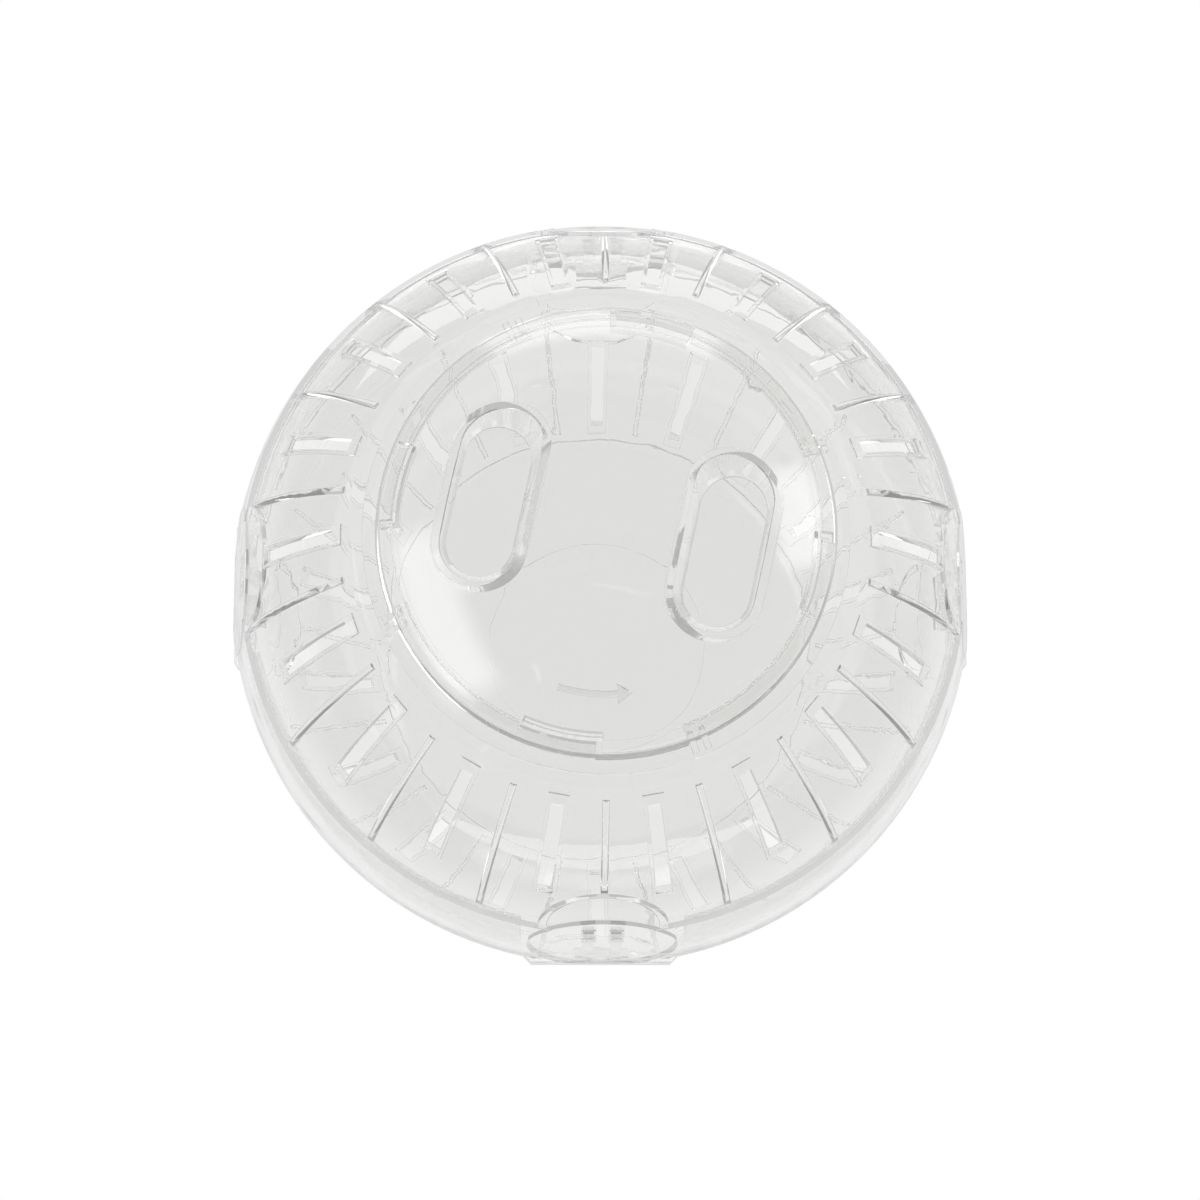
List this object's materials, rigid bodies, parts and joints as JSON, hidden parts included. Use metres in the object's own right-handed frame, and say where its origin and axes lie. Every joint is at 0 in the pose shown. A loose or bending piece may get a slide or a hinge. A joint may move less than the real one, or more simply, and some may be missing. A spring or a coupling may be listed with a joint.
{
  "type": "hamster exercise ball",
  "caption": "Clear plastic exercise ball for a small pet: two slotted half shells that snap together, and a round quarter-turn door with two finger pockets.",
  "frame": {"origin": "centre of the flat face that the ball stands on, at the bottom of the part", "axes": "+Z is the ball's axis, out through the middle of the door; +X and +Y each point at a latch on the parting line"},
  "size_m": [0.14, 0.14, 0.1243],
  "materials": {
    "shell_plastic": "clear polished polystyrene",
    "door_plastic": "clear polished polystyrene"
  },
  "bodies": {
    "rear_half": {"rear_shell": "shell_plastic", "snap_hooks": "shell_plastic"},
    "front_half": {"front_shell": "shell_plastic"},
    "door_disc": {"door": "door_plastic"}
  },
  "joints": [
    {"name": "front_lift", "type": "slide", "parent": "rear_half", "child": "front_half", "axis": [0, 0, 1], "range_m": [0, 0.09], "deforming": ["snap_hooks"]},
    {"name": "door_turn", "type": "hinge", "parent": "front_half", "child": "door_disc", "pos_m": [0, 0, 0.11], "axis": [0, 0, 1], "range_deg": [0, 21]}
  ]
}
